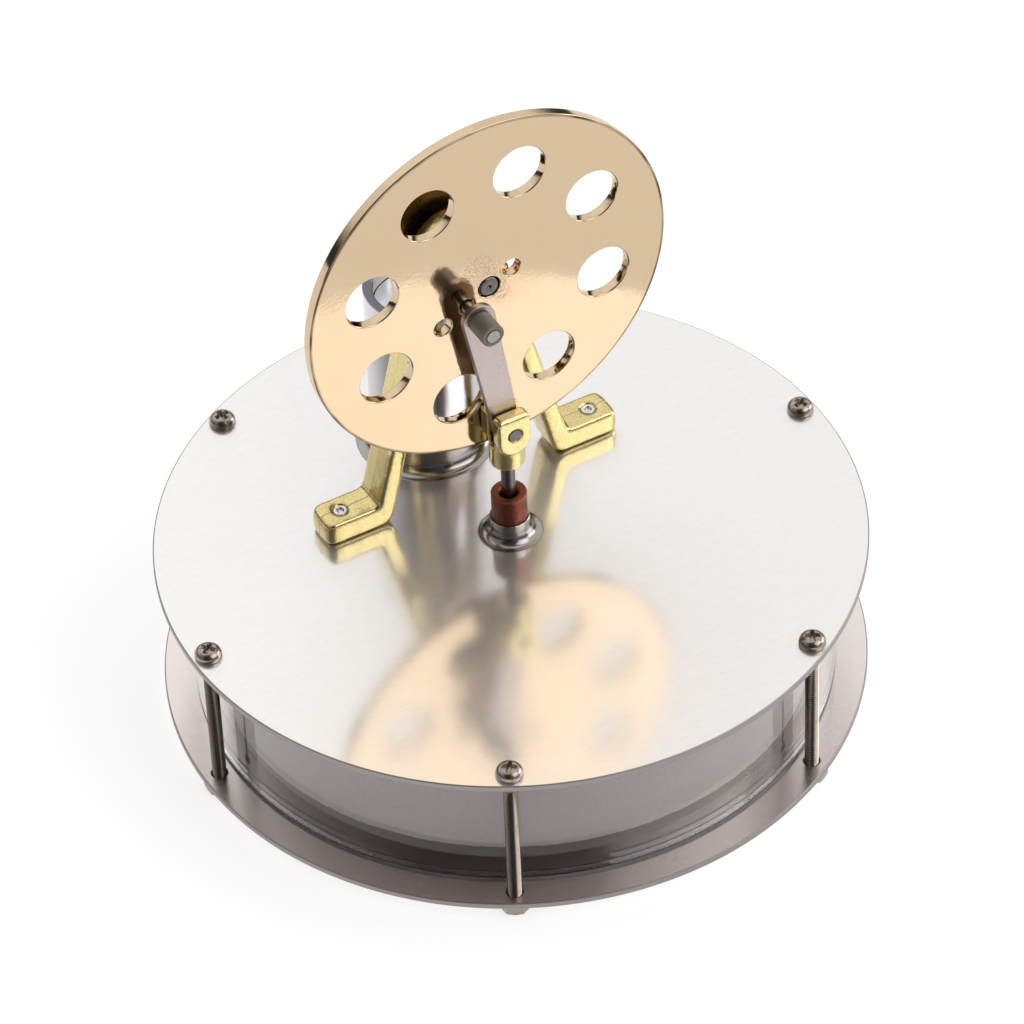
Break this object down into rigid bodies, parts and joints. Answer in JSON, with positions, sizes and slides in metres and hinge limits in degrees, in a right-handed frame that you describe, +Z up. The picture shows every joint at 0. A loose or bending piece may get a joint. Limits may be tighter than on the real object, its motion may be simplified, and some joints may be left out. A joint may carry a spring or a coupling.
{
  "type": "stirling engine model",
  "caption": "Low-temperature Stirling engine model with a round clear-walled chamber, a foam displacer, a power cylinder and a vertical flywheel on an A-shaped bracket.",
  "frame": {"origin": "on the surface that the engine stands on, under the centre of its round plates and of the displacer rod", "axes": "+Z up along the displacer rod; the crankshaft lies along Y and the flywheel faces -Y; +X to the right seen from the flywheel side"},
  "size_m": [0.1, 0.1, 0.0954],
  "materials": {
    "plate_aluminium": "fine brushed, sheared edge",
    "clear_acrylic": "clear polished acrylic tube",
    "seal_rubber": "thin flat grey seal",
    "displacer_foam": "matte fine-celled foam",
    "hub_aluminium": "turned",
    "dark_steel": "dark ground steel",
    "sintered_bronze": "copper-coloured sintered bronze, oxidised",
    "gold_casting": "gold plated die casting, lightly speckled",
    "gold_plate": "bright gold plate with a slight ripple",
    "link_steel": "satin blanked steel",
    "pin_steel": "polished steel pin",
    "clear_sleeve": "clear soft plastic tube",
    "zinc_screw": "bright zinc",
    "cylinder_steel": "drawn bright tube, polished lengthwise",
    "piston_aluminium": "turned",
    "nickel_screw": "dark nickel plated"
  },
  "bodies": {
    "chassis": {"bottom_plate": "plate_aluminium", "top_plate": "plate_aluminium", "chamber_ring": "clear_acrylic", "lower_seal": "seal_rubber", "upper_seal": "seal_rubber", "rod_bush": "sintered_bronze", "bracket": "gold_casting", "shaft_bush_front": "sintered_bronze", "shaft_bush_rear": "sintered_bronze", "bracket_screw_left": "zinc_screw", "bracket_screw_right": "zinc_screw", "power_cylinder": "cylinder_steel", "plate_screw_1": "nickel_screw", "plate_screw_2": "nickel_screw", "plate_screw_3": "nickel_screw", "plate_screw_4": "nickel_screw", "plate_screw_5": "nickel_screw", "plate_screw_6": "nickel_screw", "plate_nut_1": "nickel_screw", "plate_nut_2": "nickel_screw", "plate_nut_3": "nickel_screw", "plate_nut_4": "nickel_screw", "plate_nut_5": "nickel_screw", "plate_nut_6": "nickel_screw"},
    "wheel": {"flywheel": "gold_plate", "crankshaft": "dark_steel", "crank_pin_root": "pin_steel", "crank_disc": "gold_plate", "power_pin_root": "pin_steel"},
    "displacer_unit": {"displacer": "displacer_foam", "displacer_hub": "hub_aluminium", "displacer_washer": "hub_aluminium", "displacer_rod": "dark_steel", "rod_clevis": "gold_casting", "clevis_pin": "dark_steel"},
    "displacer_link_arm": {"displacer_link": "link_steel", "crank_pin_end": "pin_steel", "crank_pin_sleeve": "clear_sleeve"},
    "piston_unit": {"power_piston": "piston_aluminium", "wrist_pin": "dark_steel"},
    "power_link_arm": {"power_link": "link_steel", "power_pin_end": "pin_steel", "power_pin_sleeve": "clear_sleeve"}
  },
  "joints": [
    {"name": "flywheel_spin", "type": "hinge", "parent": "chassis", "child": "wheel", "pos_m": [0, 0, 0.0679], "axis": [0, -1, 0], "continuous": true},
    {"name": "displacer_slide", "type": "slide", "parent": "chassis", "child": "displacer_unit", "axis": [0, 0, 1], "range_m": [-0.0024, 0.0056]},
    {"name": "displacer_link_swing", "type": "hinge", "parent": "displacer_unit", "child": "displacer_link_arm", "pos_m": [0, 0, 0.0451], "axis": [0, -1, 0], "range_deg": [-20.45, 1.3]},
    {"name": "piston_slide", "type": "slide", "parent": "chassis", "child": "piston_unit", "axis": [0, 0, 1], "range_m": [-0.0076, 0.0004]},
    {"name": "power_link_swing", "type": "hinge", "parent": "piston_unit", "child": "power_link_arm", "pos_m": [0, 0.0237, 0.0475], "axis": [0, -1, 0], "range_deg": [-14.11, 5.08]}
  ]
}
